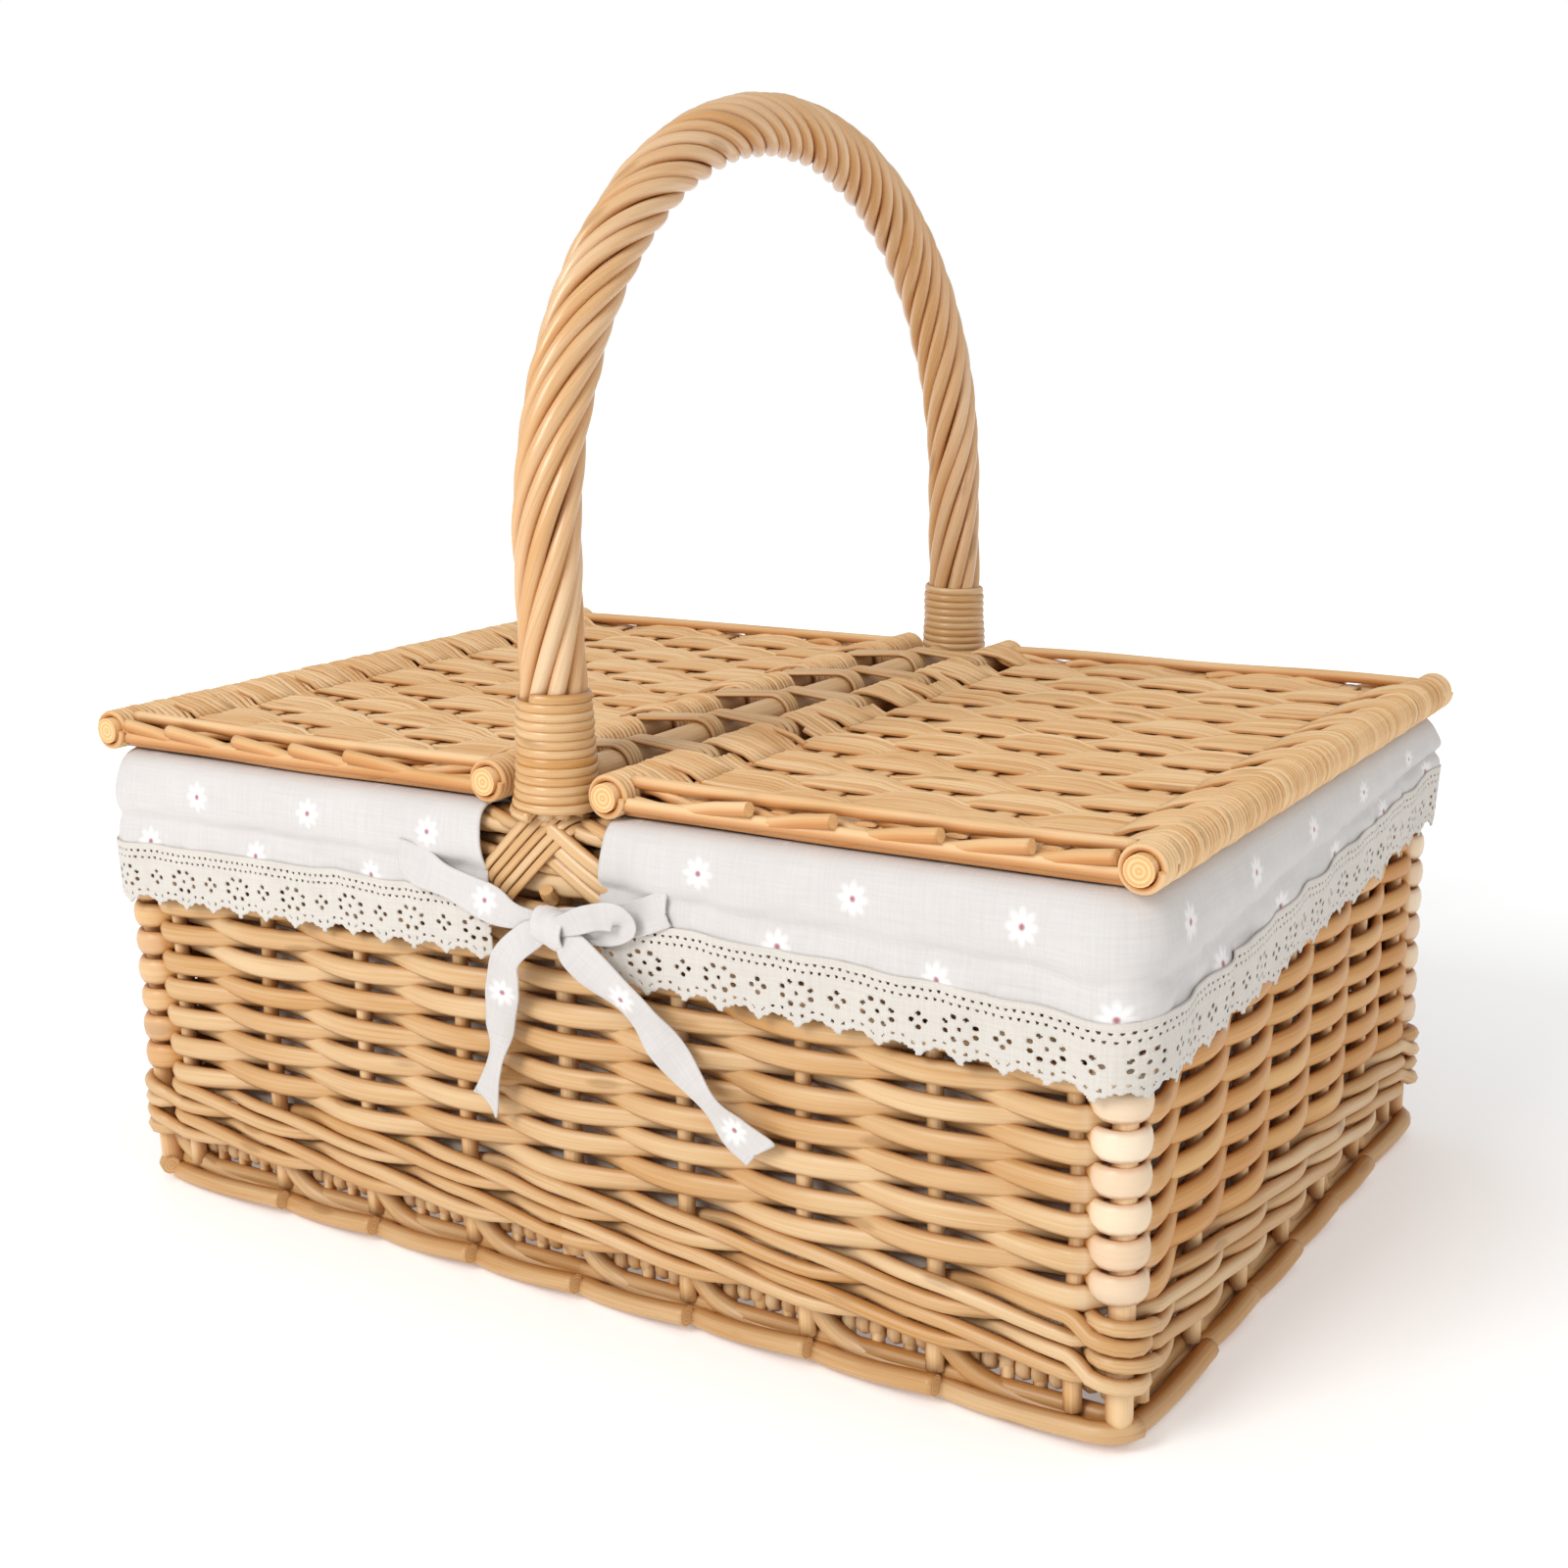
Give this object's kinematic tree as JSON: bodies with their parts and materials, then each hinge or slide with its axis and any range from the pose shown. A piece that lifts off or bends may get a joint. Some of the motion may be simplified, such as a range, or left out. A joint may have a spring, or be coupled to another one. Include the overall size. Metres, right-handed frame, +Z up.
{
  "type": "sewing basket",
  "caption": "Rectangular woven willow sewing basket with hinged lids that open either side of a fixed arched handle, and a lace-edged cloth liner tied at the handle's feet.",
  "frame": {"origin": "on the ground, under the middle of the basket", "axes": "+X along the basket's length, +Y towards its back, +Z up"},
  "size_m": [0.4, 0.298, 0.38],
  "materials": {
    "wall_willow": "satin peeled willow rods",
    "stake_willow": "satin peeled willow",
    "lid_willow": "satin fine willow weave",
    "handle_rods": "lightly varnished twisted rods",
    "cane_binding": "glossy split cane",
    "liner_cloth": "plain-weave cotton with a small daisy print",
    "lace": "cream cotton lace"
  },
  "bodies": {
    "basket": {"back_collar": "cane_binding", "back_knot": "liner_cloth", "back_lashing": "cane_binding", "back_stakes": "stake_willow", "back_tails": "liner_cloth", "back_ties": "liner_cloth", "back_weave": "wall_willow", "base_sticks": "stake_willow", "base_weave": "wall_willow", "bottom_waling": "wall_willow", "corner_posts": "stake_willow", "foot_border": "wall_willow", "front_collar": "cane_binding", "front_knot": "liner_cloth", "front_lashing": "cane_binding", "front_stakes": "stake_willow", "front_tails": "liner_cloth", "front_ties": "liner_cloth", "front_weave": "wall_willow", "handle_core": "handle_rods", "handle_wrap": "handle_rods", "hinge_bar": "stake_willow", "left_flap": "liner_cloth", "left_hinge_loops": "cane_binding", "left_lace": "lace", "left_stakes": "stake_willow", "left_weave": "wall_willow", "liner_bag": "liner_cloth", "right_flap": "liner_cloth", "right_hinge_loops": "cane_binding", "right_lace": "lace", "right_stakes": "stake_willow", "right_weave": "wall_willow", "rim_border": "wall_willow", "top_waling": "wall_willow"},
    "left_lid": {"left_lid_back_border": "lid_willow", "left_lid_front_border": "lid_willow", "left_lid_inner_rod": "lid_willow", "left_lid_outer_rod": "lid_willow", "left_lid_sticks": "lid_willow", "left_lid_weave": "lid_willow"},
    "right_lid": {"right_lid_back_border": "lid_willow", "right_lid_front_border": "lid_willow", "right_lid_inner_rod": "lid_willow", "right_lid_outer_rod": "lid_willow", "right_lid_sticks": "lid_willow", "right_lid_weave": "lid_willow"}
  },
  "joints": [
    {"name": "left_lid_hinge", "type": "hinge", "parent": "basket", "child": "left_lid", "pos_m": [-0.023, 0, 0.1694], "axis": [0, 1, 0], "range_deg": [0, 91.5]},
    {"name": "right_lid_hinge", "type": "hinge", "parent": "basket", "child": "right_lid", "pos_m": [0.023, 0, 0.1694], "axis": [0, -1, 0], "range_deg": [0, 91.5]}
  ]
}
